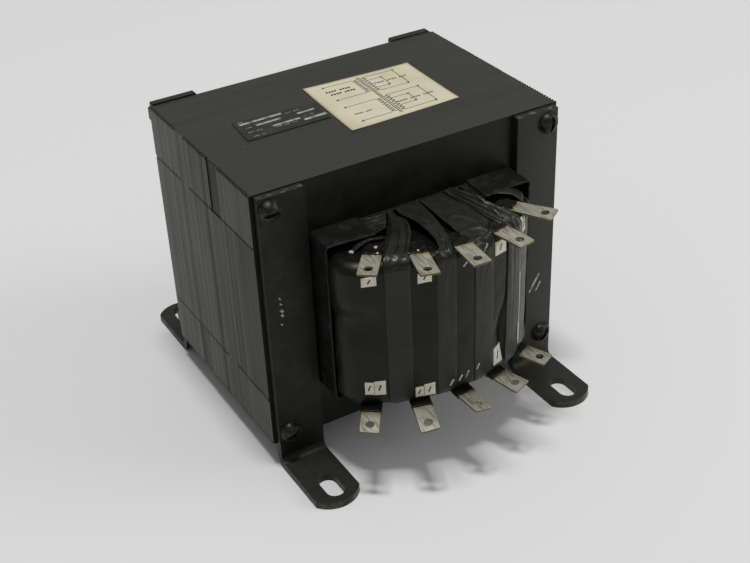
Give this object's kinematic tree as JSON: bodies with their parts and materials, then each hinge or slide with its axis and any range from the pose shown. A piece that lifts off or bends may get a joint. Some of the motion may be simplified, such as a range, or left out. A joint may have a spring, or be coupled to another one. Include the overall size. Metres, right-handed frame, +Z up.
{
  "type": "power transformer",
  "caption": "Open-frame power transformer with an interleaved laminated core, bolted L-shaped mounting feet and a black taped coil whose flat terminal lugs fan out above and below.",
  "frame": {"origin": "on the floor, midway between the four mounting slots", "axes": "+X out of the terminal side, +Y to the right of someone facing the terminals, +Z up"},
  "size_m": [0.2249, 0.1714, 0.1567],
  "materials": {
    "core_varnish": "satin varnish over steel plates",
    "bracket_paint": "worn black paint",
    "bolt_steel": "painted over steel",
    "pressboard": "varnished board",
    "coil_tape": "varnished black tape",
    "liner_paper": "black insulating paper",
    "lug_tin": "tinned, scratched and dull"
  },
  "bodies": {
    "root": {"e_plates_upright": "core_varnish", "i_plates_top": "core_varnish", "e_plates_inverted": "core_varnish", "i_plates_bottom": "core_varnish", "front_left_bracket": "bracket_paint", "front_right_bracket": "bracket_paint", "rear_left_bracket": "bracket_paint", "rear_right_bracket": "bracket_paint", "top_left_bolt": "bolt_steel", "top_right_bolt": "bolt_steel", "bottom_left_bolt": "bolt_steel", "bottom_right_bolt": "bolt_steel", "bolt_washers": "bolt_steel", "top_left_nut": "bolt_steel", "top_right_nut": "bolt_steel", "bottom_left_nut": "bolt_steel", "bottom_right_nut": "bolt_steel", "coil_former": "pressboard", "winding": "coil_tape", "left_window_liner": "liner_paper", "right_window_liner": "liner_paper", "upper_terminal_1": "lug_tin", "upper_terminal_2": "lug_tin", "upper_terminal_3": "lug_tin", "upper_terminal_4": "lug_tin", "upper_terminal_5": "lug_tin", "lower_terminal_1": "lug_tin", "lower_terminal_2": "lug_tin", "lower_terminal_3": "lug_tin", "lower_terminal_4": "lug_tin", "lower_terminal_5": "lug_tin", "front_tape_1": "coil_tape", "front_tape_2": "coil_tape", "front_tape_3": "coil_tape", "front_tape_4": "coil_tape", "rear_tape_1": "coil_tape", "rear_tape_2": "coil_tape", "rear_tape_3": "coil_tape", "rear_tape_4": "coil_tape"}
  },
  "joints": []
}
